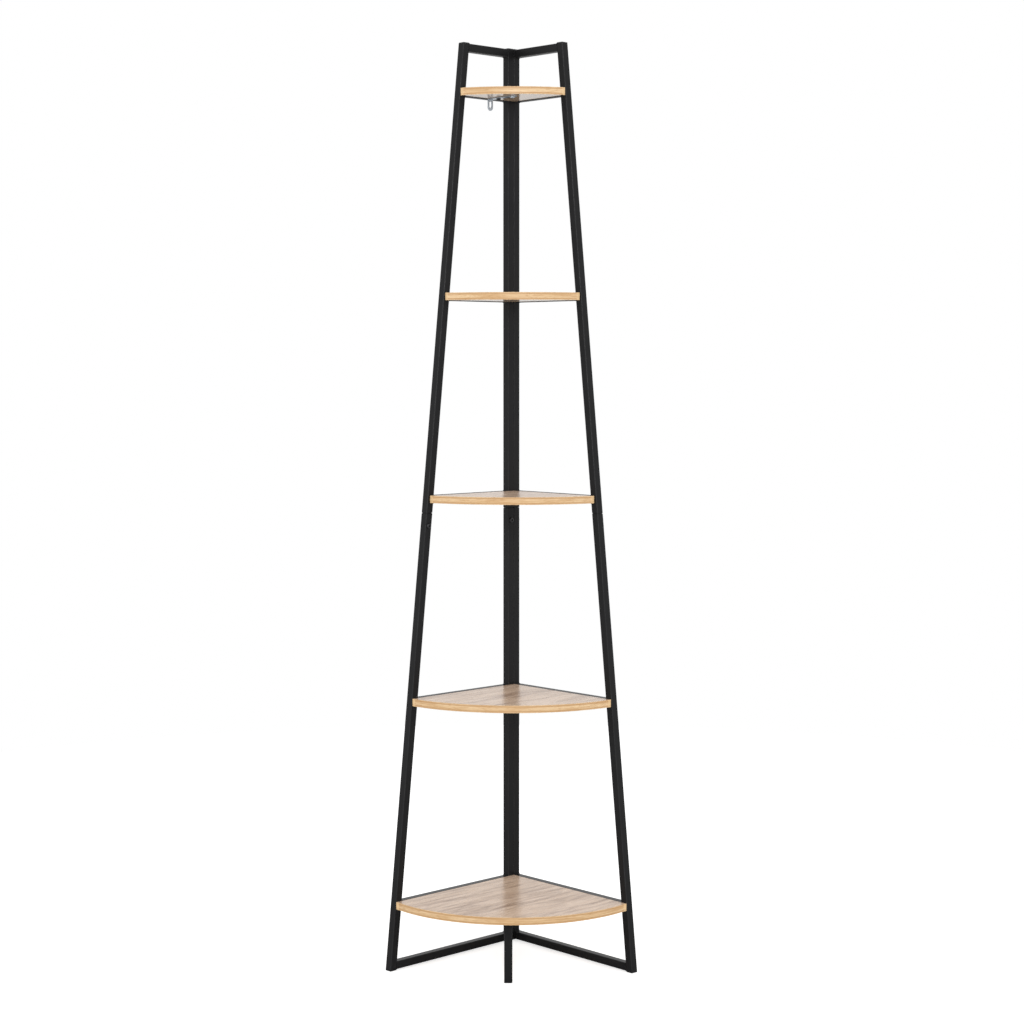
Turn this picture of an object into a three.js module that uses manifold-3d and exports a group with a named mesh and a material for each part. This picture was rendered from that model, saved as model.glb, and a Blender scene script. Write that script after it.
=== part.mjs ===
// Five-tier corner shelf unit of square steel tube and wood boards.
// Two flat side frames stand at a right angle and meet in a double back post.
// Each frame is a lower and an upper half, joined at mid height by sleeves inside
// its two uprights. The front upright of each frame leans back towards the post,
// so the five corner boards grow smaller from the floor to the top. Their curved
// fronts all have one radius.
// Millimetres, +Z up. The open side faces -Y, and the origin lies on the floor,
// under the middle of the whole unit.

import * as THREE from 'three';
import { mergeVertices } from 'three/addons/utils/BufferGeometryUtils.js';
import Module from 'manifold-3d';

const wasm = await Module();
wasm.setup();

// Reach of a frame along its wall, from the outer corner of the post to the front
// of the leaning leg, at the floor and at the top
const floorReach = 334;
const topReach = 145;

// Square tube of the frames
const tubeSize = 15;
const tubeWall = 1;
const tubeOuterRadius = 1.5;
const tubeInnerRadius = 0.6;

// Small clearances between pieces that meet
const fitGap = 0.3;
const weldGap = 0.3;
const cutOverrun = 1;

// Boards, with how far the ends of each one stay behind the front of the legs, from
// the lowest board to the highest
const boardSetbacks = [0.5, 1.1, 4.7, 2.8, 0.9];
const boardCount = boardSetbacks.length;
const boardThickness = 14;
const lowestBoardTop = 130;
const boardPitch = 378.9;
const highestBoardLift = 3.5;
const boardEndFlat = 7.5;
const boardArcRadius = 270;
const riseAboveBoards = 85.9;

// Plastic plugs at both ends of the uprights
const plugFlange = 1.8;
const plugEdge = 0.7;
const plugStem = 12;

// Joint between the lower and the upper half of a frame
const seamBelowBoard = 19;
const seamGap = 1;
const sleeveBelow = 38;
const sleeveAbove = 32;
const sleeveWall = 1.2;
const sleeveBoltDrop = 24;

// Bolts of the sleeves and of the post
const boltRadius = 3;
const boltHeadRadius = 5.25;
const boltHeadHeight = 2.9;
const boltHeadRim = 0.8;
const boltSocketRadius = 2.3;
const boltSocketDepth = 2;
const boltTip = 0.6;
const weldNutWall = 1.2;
const sleeveNutLength = 3;
const postNutLength = 5;
const boltEndPlay = 0.8;

// Screws that hold the boards to their rails
const screwRadius = 2;
const screwHeadRadius = 4;
const screwHeadHeight = 2.4;
const screwHeadRim = 0.7;
const screwSocketRadius = 1.5;
const screwSocketDepth = 1.3;
const screwTip = 3;
const screwTipRadius = 0.5;
const screwGrip = 22;

// Short front leg under the lowest board
const frontLegSetback = 28.5;
const frontLegShift = 3.6;
const frontLegPlate = 3;
const frontLegPlateInset = 0.5;
const studRadius = 4;
const studInBoard = 11;
const studInLeg = 16;
const studChamfer = 1;

// Wall strap under the highest board
const strapWidth = 13;
const strapThickness = 1.5;
const strapBendRadius = 1.5;
const strapLength = 70;
const strapDrop = 22.5;
const strapBesideScrew = 5.3;
const strapFromRail = 0.8;
const strapHoleRadius = 2.5;
const strapScrewAlong = 24;
const strapSecondHoleFromEnd = 8;
const strapSlotWidth = 5.3;
const strapSlotLength = 12;
const strapSlotRise = 5.5;
const strapEndRadius = 5;
const strapScrewGrip = 11;
const strapScrewHeadRadius = 4.3;

// Facets of the round shapes, in segments of a full turn or of a corner
const cornerFacets = 2;
const boltFacets = 16;
const holeFacets = 12;
const boardArcFacets = 20;
const bendFacets = 4;
const headDomeFacets = 2;
const hexFacets = 6;

// Heights that follow from those sizes
const HALF = 1 / 2;
const boardIndices = Array.from({ length: boardCount }, (_, index) => index);
const highestBoard = boardCount - 1;
const middleBoard = Math.floor(boardCount * HALF);
const boardLift = (index) => (index === highestBoard ? highestBoardLift : 0);
const boardTop = (index) => lowestBoardTop + index * boardPitch + boardLift(index);
const boardUnderside = (index) => boardTop(index) - boardThickness;
const unitHeight = boardTop(highestBoard) + riseAboveBoards;
const tubeBottom = plugFlange;
const tubeTop = unitHeight - plugFlange;
const seamHeight = boardUnderside(middleBoard) - seamBelowBoard;
const sleeveBoltHeight = seamHeight - sleeveBoltDrop;
const tubeSpans = {
  lower: [tubeBottom, seamHeight - seamGap * HALF],
  upper: [seamHeight + seamGap * HALF, tubeTop],
};
const screwHeight = (index) => boardTop(index) - tubeSize * HALF;
const postBoltHeights = { lower: screwHeight(1), upper: screwHeight(highestBoard) };

// Lengths in plan that follow from those sizes
const rootTwo = Math.SQRT2;
const quarterTurn = Math.PI / 2;
const legSlope = (topReach - floorReach) / unitHeight;
const legDepth = tubeSize * Math.hypot(1, legSlope);
const innerFace = tubeSize;
const sleeveInset = tubeWall + fitGap;
const sleeveSize = tubeSize - 2 * sleeveInset;
const legFront = (height) => floorReach + legSlope * height;
const legBack = (height) => legFront(height) - legDepth;
const boardSide = (index) => legFront(boardTop(index)) - innerFace - boardSetbacks[index];
const lowestBoardFront = rootTwo * (innerFace + boardArc(0).centre) + boardArcRadius;
const screwPlace = (index) => innerFace + boardSide(index) * HALF;

// Arc along the front of a board, through the ends of both end flats. Its centre lies
// on the diagonal of the board, as far from one straight side as from the other.
function boardArc(index) {
  const halfChord = (boardSide(index) - boardEndFlat) / rootTwo;
  const chordMiddle = (boardSide(index) + boardEndFlat) * HALF;
  const centre = chordMiddle - Math.sqrt(boardArcRadius ** 2 - halfChord ** 2) / rootTwo;
  const startTurn = Math.atan2(boardEndFlat - centre, boardSide(index) - centre);
  return { centre, startTurn };
}

// Nuts and how far the bolts reach: a sleeve bolt from the outer face of its tube,
// and a post bolt from the outer face of the left back tube
const weldNutRadius = boltRadius + weldNutWall;
const sleeveBoltReach = sleeveInset + sleeveWall + sleeveNutLength + boltEndPlay;
const postBoltReach = tubeWall + postNutLength + boltEndPlay;

// Finishes
function finish(name, color, metalness, roughness) {
  const material = new THREE.MeshStandardMaterial({ color, metalness, roughness, flatShading: true });
  material.name = name;
  return material;
}
const blackSteel = finish('black_steel', 0x232323, 0.4, 0.5);
const oakBoard = finish('oak_board', 0xd2c0a8, 0, 0.6);
const blackPlastic = finish('black_plastic', 0x1c1c1c, 0, 0.6);
const plainSteel = finish('plain_steel', 0x9a9c9e, 0.9, 0.4);
const blackFastener = finish('black_fastener', 0x2b2b2b, 0.7, 0.4);
const zincPlate = finish('zinc_plate', 0xa4a9ad, 0.9, 0.35);

// Closed geometry to solid and back
function toSolid(geometry) {
  const bare = geometry.clone();
  bare.deleteAttribute('normal');
  bare.deleteAttribute('uv');
  const merged = mergeVertices(bare);
  const corners = merged.index.array;
  const kept = [];
  for (let start = 0; start < corners.length; start += 3) {
    const [a, b, c] = corners.slice(start, start + 3);
    if (a !== b && b !== c && c !== a) kept.push(a, b, c);
  }
  return new wasm.Manifold(new wasm.Mesh({
    numProp: 3,
    vertProperties: merged.attributes.position.array,
    triVerts: Uint32Array.from(kept),
  }));
}

function toGeometry(solid) {
  const { vertProperties, triVerts } = solid.getMesh();
  const geometry = new THREE.BufferGeometry();
  geometry.setAttribute('position', new THREE.BufferAttribute(vertProperties, 3));
  geometry.setIndex(new THREE.BufferAttribute(triVerts, 1));
  geometry.computeVertexNormals();
  return geometry;
}

function cut(geometry, cutters) {
  const solid = cutters.reduce((body, cutter) => body.subtract(toSolid(cutter)), toSolid(geometry));
  return toGeometry(solid);
}

function join(geometry, additions) {
  const solid = additions.reduce((body, addition) => body.add(toSolid(addition)), toSolid(geometry));
  return toGeometry(solid);
}

function overlap(geometry, others) {
  const solid = others.reduce((body, other) => body.intersect(toSolid(other)), toSolid(geometry));
  return toGeometry(solid);
}

function piece(name, geometry, material) {
  const mesh = new THREE.Mesh(geometry, material);
  mesh.name = name;
  return mesh;
}

// Outline of a rectangle with round corners
function roundedRectangle(path, left, low, width, height, radius) {
  const right = left + width;
  const high = low + height;
  path.moveTo(left + radius, low);
  path.lineTo(right - radius, low);
  path.absarc(right - radius, low + radius, radius, -quarterTurn, 0, false);
  path.lineTo(right, high - radius);
  path.absarc(right - radius, high - radius, radius, 0, quarterTurn, false);
  path.lineTo(left + radius, high);
  path.absarc(left + radius, high - radius, radius, quarterTurn, Math.PI, false);
  path.lineTo(left, low + radius);
  path.absarc(left + radius, low + radius, radius, Math.PI, Math.PI + quarterTurn, false);
  return path;
}

// Section of a square tube whose lower left corner lies at the origin; the wall
// across the first direction is widened with the tube when the tube leans
function tubeSection(width, height, wall, outerRadius, innerRadius) {
  const widthWall = wall * width / height;
  const section = roundedRectangle(new THREE.Shape(), 0, 0, width, height, outerRadius);
  const hollow = roundedRectangle(
    new THREE.Path(), widthWall, wall, width - 2 * widthWall, height - 2 * wall, innerRadius);
  section.holes.push(hollow);
  return section;
}

function extrude(shape, depth, curveSegments = cornerFacets) {
  return new THREE.ExtrudeGeometry(shape, { depth, bevelEnabled: false, curveSegments });
}

// Moves every point along X by the slope times its height, as a leaning leg does
function lean(geometry, slope) {
  const shear = new THREE.Matrix4().makeShear(0, 0, 0, 0, slope, 0);
  return geometry.applyMatrix4(shear);
}

// Round bar along the axis 'x', 'y' or 'z', set out from its middle point
function roundBar(radius, length, axis, centre, facets = holeFacets) {
  const bar = new THREE.CylinderGeometry(radius, radius, length, facets);
  if (axis === 'x') bar.rotateZ(quarterTurn);
  if (axis === 'z') bar.rotateX(quarterTurn);
  return bar.translate(...centre);
}

// Bolt or screw with a domed head on the plane z = 0 and its shank below it
function fastener(size) {
  const { radius, length, tip, tipRadius, headRadius, headHeight, headRim } = size;
  const { socketRadius, socketDepth } = size;
  const profile = [
    new THREE.Vector2(0, -length),
    new THREE.Vector2(tipRadius, -length),
    new THREE.Vector2(radius, tip - length),
    new THREE.Vector2(radius, 0),
    new THREE.Vector2(headRadius, 0),
    new THREE.Vector2(headRadius, headRim),
  ];
  for (let step = 1; step <= headDomeFacets; step += 1) {
    const turn = quarterTurn * step / headDomeFacets;
    const domeRadius = socketRadius + (headRadius - socketRadius) * Math.cos(turn);
    profile.push(new THREE.Vector2(domeRadius, headRim + (headHeight - headRim) * Math.sin(turn)));
  }
  profile.push(new THREE.Vector2(0, headHeight));
  const turned = new THREE.LatheGeometry(profile, boltFacets).rotateX(quarterTurn);
  const socket = roundBar(
    socketRadius * Math.cos(Math.PI / hexFacets), 2 * socketDepth, 'z', [0, 0, headHeight], hexFacets);
  return cut(turned, [socket]);
}

const boltSizes = {
  radius: boltRadius,
  tip: boltTip,
  tipRadius: boltRadius - boltTip,
  headRadius: boltHeadRadius,
  headHeight: boltHeadHeight,
  headRim: boltHeadRim,
  socketRadius: boltSocketRadius,
  socketDepth: boltSocketDepth,
};
const screwSizes = {
  radius: screwRadius,
  tip: screwTip,
  tipRadius: screwTipRadius,
  headRadius: screwHeadRadius,
  headHeight: screwHeadHeight,
  headRim: screwHeadRim,
  socketRadius: screwSocketRadius,
  socketDepth: screwSocketDepth,
};

// Turns a fastener from its own +Z axis to the direction in which its head looks
function aim(mesh, direction, place) {
  mesh.quaternion.setFromUnitVectors(new THREE.Vector3(0, 0, 1), new THREE.Vector3(...direction));
  mesh.position.set(...place);
  return mesh;
}

// The two uprights of a frame: where each starts at the floor, how deep it is
// along the wall, and how far it leans for each millimetre of height
function frameUprights(backX) {
  return [
    { part: 'leg', x: floorReach - legDepth, depth: legDepth, slope: legSlope },
    { part: 'back', x: backX, depth: tubeSize, slope: 0 },
  ];
}

function middleOf(upright, height) {
  return upright.x + upright.depth * HALF + upright.slope * height;
}

function uprightTube({ x, depth, slope }, low, high) {
  const section = tubeSection(depth, tubeSize, tubeWall, tubeOuterRadius, tubeInnerRadius);
  const tube = extrude(section, high - low).translate(0, 0, low);
  return lean(tube, slope).translate(x, 0, 0);
}

function sleeveBoltHole(upright) {
  const place = [middleOf(upright, sleeveBoltHeight), tubeSize, sleeveBoltHeight];
  return roundBar(boltRadius + fitGap, 2 * sleeveBoltReach, 'y', place);
}

// Nut for a post bolt, welded inside the outer wall of the left back upright
function postNut(upright, height) {
  const length = postNutLength + tubeWall * HALF;
  const middleX = upright.x + tubeWall * HALF + length * HALF;
  return roundBar(weldNutRadius, length, 'x', [middleX, tubeSize * HALF, height]);
}

// Lower and upper tube of an upright. The lower one has the hole for the sleeve
// bolt. In the post, the bolts pass through both walls of the right tubes and
// through the nuts of the left ones.
function uprightHalves(side, upright) {
  return Object.entries(tubeSpans).map(([half, [low, high]]) => {
    const nuts = [];
    const holes = half === 'lower' ? [sleeveBoltHole(upright)] : [];
    if (upright.part === 'back') {
      const height = postBoltHeights[half];
      const radius = boltRadius + fitGap;
      if (side === 'left') {
        nuts.push(postNut(upright, height));
        holes.push(roundBar(radius, 2 * postBoltReach, 'x', [upright.x, tubeSize * HALF, height]));
      } else {
        const place = [middleOf(upright, height), tubeSize * HALF, height];
        holes.push(roundBar(radius, tubeSize + 2 * cutOverrun, 'y', place));
      }
    }
    const body = cut(join(uprightTube(upright, low, high), nuts), holes);
    return piece(`${side}_${half}_${upright.part}_tube`, body, blackSteel);
  });
}

// Sleeve inside both halves of an upright, with the nut for its bolt welded to it
function sleeve(side, upright) {
  const depth = sleeveSize * upright.depth / tubeSize;
  const section = tubeSection(depth, sleeveSize, sleeveWall, tubeInnerRadius, tubeInnerRadius);
  const tube = extrude(section, sleeveBelow + sleeveAbove).translate(0, 0, seamHeight - sleeveBelow);
  const startX = upright.x + (upright.depth - depth) * HALF;
  const placed = lean(tube, upright.slope).translate(startX, sleeveInset, 0);
  const nutLength = sleeveNutLength + sleeveWall * HALF;
  const nutY = tubeSize - sleeveInset - sleeveWall * HALF - nutLength * HALF;
  const nutPlace = [middleOf(upright, sleeveBoltHeight), nutY, sleeveBoltHeight];
  const nut = roundBar(weldNutRadius, nutLength, 'y', nutPlace);
  const body = cut(join(placed, [nut]), [sleeveBoltHole(upright)]);
  return piece(`${side}_${upright.part}_sleeve`, body, blackSteel);
}

// Bolt that locks a sleeve to the lower tube
function sleeveBolt(side, upright) {
  const body = fastener({ ...boltSizes, length: fitGap + sleeveBoltReach });
  const bolt = piece(`${side}_${upright.part}_sleeve_bolt`, body, blackFastener);
  const place = [middleOf(upright, sleeveBoltHeight), tubeSize + fitGap, sleeveBoltHeight];
  return aim(bolt, [0, 1, 0], place);
}

// Turns the geometry over, so that what pointed up points down
function flip(geometry) {
  geometry.applyMatrix4(new THREE.Matrix4().makeScale(1, 1, -1));
  const corners = geometry.index.array;
  for (let start = 0; start < corners.length; start += 3) {
    [corners[start], corners[start + 1]] = [corners[start + 1], corners[start]];
  }
  return geometry;
}

// Plastic plug of an upright: a flange with an eased edge at the end of the tube,
// and a stem inside it. A foot stands at the floor, and a cap at the top.
function plug({ x, depth, slope }, end) {
  const stemDepth = sleeveSize * depth / tubeSize;
  const overlapHeight = plugFlange * HALF;
  const flangeOutline = roundedRectangle(
    new THREE.Shape(), plugEdge, plugEdge, depth - 2 * plugEdge, tubeSize - 2 * plugEdge,
    tubeOuterRadius - plugEdge);
  const flange = new THREE.ExtrudeGeometry(flangeOutline, {
    depth: plugFlange - plugEdge,
    bevelEnabled: true,
    bevelSize: plugEdge,
    bevelThickness: plugEdge,
    bevelSegments: 1,
    curveSegments: cornerFacets,
  }).translate(0, 0, plugEdge);
  const aboveFlange = new THREE.BoxGeometry(2 * depth, 2 * tubeSize, plugFlange)
    .translate(depth * HALF, tubeSize * HALF, plugFlange + plugFlange * HALF);
  const stemOutline = roundedRectangle(
    new THREE.Shape(), (depth - stemDepth) * HALF, sleeveInset, stemDepth, sleeveSize,
    tubeInnerRadius);
  const stem = extrude(stemOutline, plugStem + overlapHeight)
    .translate(0, 0, plugFlange - overlapHeight);
  const foot = join(cut(flange, [aboveFlange]), [stem]);
  const turned = end === 'cap' ? flip(foot).translate(0, 0, unitHeight) : foot;
  return lean(turned, slope).translate(x, 0, 0);
}

// Level tube between the back upright and the leaning leg; its front end is cut
// to the lean of the leg
function rail(startX, low) {
  const section = tubeSection(tubeSize, tubeSize, tubeWall, tubeOuterRadius, tubeInnerRadius);
  const unitTube = extrude(section, 1);
  const corner = unitTube.attributes.position;
  for (let index = 0; index < corner.count; index += 1) {
    const across = corner.getX(index);
    const height = low + corner.getY(index);
    const endX = legBack(height) - weldGap;
    const alongX = startX + corner.getZ(index) * (endX - startX);
    corner.setXYZ(index, alongX, across, height);
  }
  return unitTube;
}

// Rail beside a board, and the screw that goes through it from the wall side into
// the edge of the board
function shelfRail(side, index, startX) {
  const place = [screwPlace(index), tubeSize * HALF, screwHeight(index)];
  const hole = roundBar(screwRadius + fitGap, tubeSize + 2 * cutOverrun, 'y', place);
  const body = cut(rail(startX, boardTop(index) - tubeSize), [hole]);
  return piece(`${side}_shelf_rail_${index + 1}`, body, blackSteel);
}

function shelfScrew(side, index) {
  const length = fitGap + tubeSize + fitGap + screwGrip;
  const screw = piece(
    `${side}_shelf_screw_${index + 1}`, fastener({ ...screwSizes, length }), blackFastener);
  const [wallFace, outward] = side === 'left' ? [0, -1] : [tubeSize, 1];
  const place = [screwPlace(index), wallFace + outward * fitGap, screwHeight(index)];
  return aim(screw, [0, outward, 0], place);
}

// One side frame. In its own axes X runs along the wall from the post to the leg,
// the tubes fill Y from 0 to tubeSize, and the heads of its sleeve bolts look to +Y.
// The boards lie beyond Y = tubeSize of the left frame and below Y = 0 of the right.
function sideFrame(side, backX) {
  const frame = new THREE.Group();
  for (const upright of frameUprights(backX)) {
    frame.add(...uprightHalves(side, upright), sleeve(side, upright), sleeveBolt(side, upright));
    for (const end of ['foot', 'cap']) {
      frame.add(piece(`${side}_${upright.part}_${end}`, plug(upright, end), blackPlastic));
    }
  }
  const railStart = backX + tubeSize + weldGap;
  frame.add(piece(`${side}_bottom_rail`, rail(railStart, tubeBottom), blackSteel));
  frame.add(piece(`${side}_top_rail`, rail(railStart, tubeTop - tubeSize), blackSteel));
  for (const index of boardIndices) {
    frame.add(shelfRail(side, index, railStart), shelfScrew(side, index));
  }
  return frame;
}

// Bolt that draws the two back uprights together, from the right wall side
function postBolt(half) {
  const length = fitGap + tubeSize + fitGap + postBoltReach;
  const bolt = piece(`post_bolt_${half}`, fastener({ ...boltSizes, length }), blackFastener);
  return aim(bolt, [-1, 0, 0], [-fitGap, tubeSize * HALF, postBoltHeights[half]]);
}

// Wall strap: its plate lies under the highest board and runs along Y, away from
// the left rail, and its tab hangs down beside that rail. It clears the screw that
// holds the board to the rail.
const strapX = screwPlace(highestBoard) - strapBesideScrew;
const strapTopZ = boardUnderside(highestBoard) - fitGap;
const strapY = innerFace + strapFromRail;
const strapScrewY = strapY + strapScrewAlong;

// Side view of the strap, with the profile's first direction along the plate
function strapProfile() {
  const outerBend = strapBendRadius + strapThickness;
  const profile = new THREE.Shape();
  profile.moveTo(strapLength, 0);
  profile.lineTo(outerBend, 0);
  profile.absarc(outerBend, -outerBend, outerBend, quarterTurn, Math.PI, false);
  profile.lineTo(0, -strapDrop);
  profile.lineTo(strapThickness, -strapDrop);
  profile.lineTo(strapThickness, -outerBend);
  profile.absarc(outerBend, -outerBend, strapBendRadius, Math.PI, quarterTurn, true);
  profile.lineTo(strapLength, -strapThickness);
  profile.closePath();
  return profile;
}

// Block that is as wide as the strap and round at its end, seen from above
function strapPlan() {
  const overrun = strapEndRadius + cutOverrun;
  const outline = roundedRectangle(
    new THREE.Shape(), -strapWidth * HALF, -overrun, strapWidth, strapLength + overrun, strapEndRadius);
  return extrude(outline, 2 * strapDrop, bendFacets).translate(0, 0, -strapDrop - cutOverrun);
}

// Block along +Y whose outline, seen along the plate, has a half-round lower end
function strapBlock(low, width, height, length) {
  const radius = width * HALF;
  const outline = roundedRectangle(new THREE.Shape(), -radius, low, width, height, radius);
  return extrude(outline, length, bendFacets).rotateX(quarterTurn).translate(0, length - cutOverrun, 0);
}

function wallStrap() {
  // The profile's X becomes Y, its Y becomes Z, and its depth runs along X
  const alongY = new THREE.Matrix4().makeBasis(
    new THREE.Vector3(0, 1, 0), new THREE.Vector3(0, 0, 1), new THREE.Vector3(1, 0, 0));
  const bent = extrude(strapProfile(), strapWidth, bendFacets)
    .applyMatrix4(alongY).translate(-strapWidth * HALF, 0, 0);
  const tab = strapBlock(-strapDrop, strapWidth, 2 * strapDrop, strapLength + 2 * cutOverrun);
  const slot = strapBlock(
    strapSlotRise - strapDrop, strapSlotWidth, strapSlotLength, strapThickness + 2 * cutOverrun);
  const holesAlong = [strapScrewAlong, strapLength - strapSecondHoleFromEnd];
  const holes = holesAlong.map((along) => roundBar(
    strapHoleRadius, 2 * (strapThickness + cutOverrun), 'z', [0, along, -strapThickness * HALF]));
  const body = cut(overlap(bent, [strapPlan(), tab]), [slot, ...holes]);
  return piece('wall_strap', body.translate(strapX, strapY, strapTopZ), zincPlate);
}

function wallStrapScrew() {
  const length = fitGap + strapThickness + fitGap + strapScrewGrip;
  const body = fastener({ ...screwSizes, headRadius: strapScrewHeadRadius, length });
  const screw = piece('wall_strap_screw', body, blackFastener);
  const place = [strapX, strapScrewY, strapTopZ - strapThickness - fitGap];
  return aim(screw, [0, 0, -1], place);
}

// Everything that is set out from the post: X runs along the left wall and Y along
// the right wall, from the outer corner of the post
const corner = new THREE.Group();
corner.rotation.z = -quarterTurn - quarterTurn * HALF;
corner.updateMatrixWorld();

const rightSide = sideFrame('right', 0);
rightSide.rotation.z = quarterTurn;
rightSide.position.x = tubeSize;
corner.add(sideFrame('left', tubeSize + fitGap), rightSide);
corner.add(postBolt('lower'), postBolt('upper'), wallStrap(), wallStrapScrew());

// Short front leg, square to the front, a little to the left of the middle
const frontLegPlace = new THREE.Vector3(
  -frontLegShift, frontLegSetback + tubeSize * HALF - lowestBoardFront, 0);
const frontLegUpright = { x: 0, depth: tubeSize, slope: 0 };

// Blind holes in a board for its two screws, and for what else is driven into it
// from below
function boardHoles(index) {
  const screwHoleRadius = screwRadius + fitGap;
  const length = screwGrip + fitGap + cutOverrun;
  const middle = innerFace + fitGap - cutOverrun + length * HALF;
  const holes = [
    roundBar(screwHoleRadius, length, 'y', [screwPlace(index), middle, screwHeight(index)]),
    roundBar(screwHoleRadius, length, 'x', [middle, screwPlace(index), screwHeight(index)]),
  ];
  if (index === 0) {
    const { x, y } = corner.worldToLocal(frontLegPlace.clone());
    const depth = studInBoard + fitGap;
    holes.push(roundBar(studRadius + fitGap, 2 * depth, 'z', [x, y, boardUnderside(index)]));
  }
  if (index === highestBoard) {
    const depth = strapScrewGrip + fitGap;
    const place = [strapX, strapScrewY, boardUnderside(index)];
    holes.push(roundBar(screwHoleRadius, 2 * depth, 'z', place));
  }
  return holes;
}

// Board with its back corner at the inner faces of both frames and a curved front.
// Each straight side ends in a short flat before the arc begins.
function board(index) {
  const side = boardSide(index);
  const { centre, startTurn } = boardArc(index);
  const outline = new THREE.Shape();
  outline.moveTo(fitGap, fitGap);
  outline.lineTo(side, fitGap);
  outline.absarc(centre, centre, boardArcRadius, startTurn, quarterTurn - startTurn, false);
  outline.lineTo(fitGap, side);
  outline.closePath();
  const slab = extrude(outline, boardThickness, boardArcFacets)
    .translate(innerFace, innerFace, boardUnderside(index));
  return piece(`shelf_board_${index + 1}`, cut(slab, boardHoles(index)), oakBoard);
}
corner.add(...boardIndices.map(board));

// The front leg is a square tube closed by a welded plate. A stud screws into the
// plate and into the lowest board, and the leg stands on a plastic foot.
function frontLegTube() {
  const top = boardUnderside(0) - fitGap;
  const plateSize = tubeSize - 2 * frontLegPlateInset;
  const plateOutline = roundedRectangle(
    new THREE.Shape(), frontLegPlateInset, frontLegPlateInset, plateSize, plateSize, tubeInnerRadius);
  const plate = extrude(plateOutline, frontLegPlate).translate(0, 0, top - frontLegPlate);
  const hole = roundBar(
    studRadius + fitGap, 2 * (frontLegPlate + cutOverrun), 'z', [tubeSize * HALF, tubeSize * HALF, top]);
  const body = cut(join(uprightTube(frontLegUpright, tubeBottom, top), [plate]), [hole]);
  return piece('front_leg', body, blackSteel);
}

function frontLegStud() {
  const profile = [
    new THREE.Vector2(0, -studInLeg),
    new THREE.Vector2(studRadius - studChamfer, -studInLeg),
    new THREE.Vector2(studRadius, studChamfer - studInLeg),
    new THREE.Vector2(studRadius, studInBoard - studChamfer),
    new THREE.Vector2(studRadius - studChamfer, studInBoard),
    new THREE.Vector2(0, studInBoard),
  ];
  const turned = new THREE.LatheGeometry(profile, boltFacets).rotateX(quarterTurn)
    .translate(tubeSize * HALF, tubeSize * HALF, boardUnderside(0));
  return piece('front_leg_stud', toGeometry(toSolid(turned)), plainSteel);
}

const frontLeg = new THREE.Group();
frontLeg.position.copy(frontLegPlace);
frontLeg.position.x -= tubeSize * HALF;
frontLeg.position.y -= tubeSize * HALF;
frontLeg.add(frontLegTube(), frontLegStud());
frontLeg.add(piece('front_leg_foot', plug(frontLegUpright, 'foot'), blackPlastic));

// The whole unit, moved so that the origin lies under its middle
const unit = new THREE.Group();
unit.name = 'corner_shelf_unit';
unit.add(corner, frontLeg);
const middle = new THREE.Box3().setFromObject(unit, true).getCenter(new THREE.Vector3());
unit.position.set(-middle.x, -middle.y, 0);

export default unit;
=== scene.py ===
import math

import bmesh
import bpy
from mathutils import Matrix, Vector


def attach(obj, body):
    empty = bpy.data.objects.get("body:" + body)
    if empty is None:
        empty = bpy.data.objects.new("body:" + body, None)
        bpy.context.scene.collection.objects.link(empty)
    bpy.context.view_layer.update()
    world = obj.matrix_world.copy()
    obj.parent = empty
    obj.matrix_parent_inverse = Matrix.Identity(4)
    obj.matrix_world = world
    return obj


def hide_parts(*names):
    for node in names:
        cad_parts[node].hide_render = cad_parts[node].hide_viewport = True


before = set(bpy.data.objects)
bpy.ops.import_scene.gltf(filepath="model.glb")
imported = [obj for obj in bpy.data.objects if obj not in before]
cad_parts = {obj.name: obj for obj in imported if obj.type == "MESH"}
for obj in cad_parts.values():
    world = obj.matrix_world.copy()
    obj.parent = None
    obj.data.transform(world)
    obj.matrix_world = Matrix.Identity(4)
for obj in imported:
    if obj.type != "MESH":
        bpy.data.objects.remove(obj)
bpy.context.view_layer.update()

# Leaning legs and back uprights of the two side frames.
# They are 15 mm square steel tube with round corners, cut in two at mid height,
# and each half frame is welded up and powder coated satin black.
MM = 0.001
ROOT_TWO = math.sqrt(2)
POST_CORNER = 171.1285
UNIT_HEIGHT = 1735
FLOOR_REACH = 334
TOP_REACH = 145
LEG_SLOPE = (TOP_REACH - FLOOR_REACH) / UNIT_HEIGHT
TUBE = 15
TUBE_WALL = 1
TUBE_ROUND = 1.5
TUBE_INSIDE_ROUND = 0.6
LEG_DEPTH = TUBE * math.hypot(1, LEG_SLOPE)
LEG_START = FLOOR_REACH - LEG_DEPTH
BACK_START = {"left": 15.3, "right": 0}
FRAME_SIGN = {"left": -1, "right": 1}
HALF_SPANS = {"lower": (1.8, 854.3), "upper": (855.3, 1733.2)}
CUT_EASE = 0.35
CORNER_STEPS = 6


def on_frame(side, along, inward, height):
    """Point of a side frame in metres, from mm along its wall and in from that wall."""
    across = FRAME_SIGN[side] * (along - inward) / ROOT_TWO
    return Vector((across, POST_CORNER - (along + inward) / ROOT_TWO, height)) * MM


def square_outline(inset, rounding):
    """Section of the tube, as (across, up, how near the ridge of a round corner)."""
    near = inset + rounding
    far = TUBE - inset - rounding
    points = []
    for corner in range(4):
        centre_x = near if corner in (0, 3) else far
        centre_y = near if corner in (0, 1) else far
        for step in range(CORNER_STEPS + 1):
            share = step / CORNER_STEPS
            turn = math.radians(180 + 90 * (corner + share))
            ridge = math.sin(math.pi * share)
            x = centre_x + rounding * math.cos(turn)
            points.append((x, centre_y + rounding * math.sin(turn), ridge))
    return points


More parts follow.
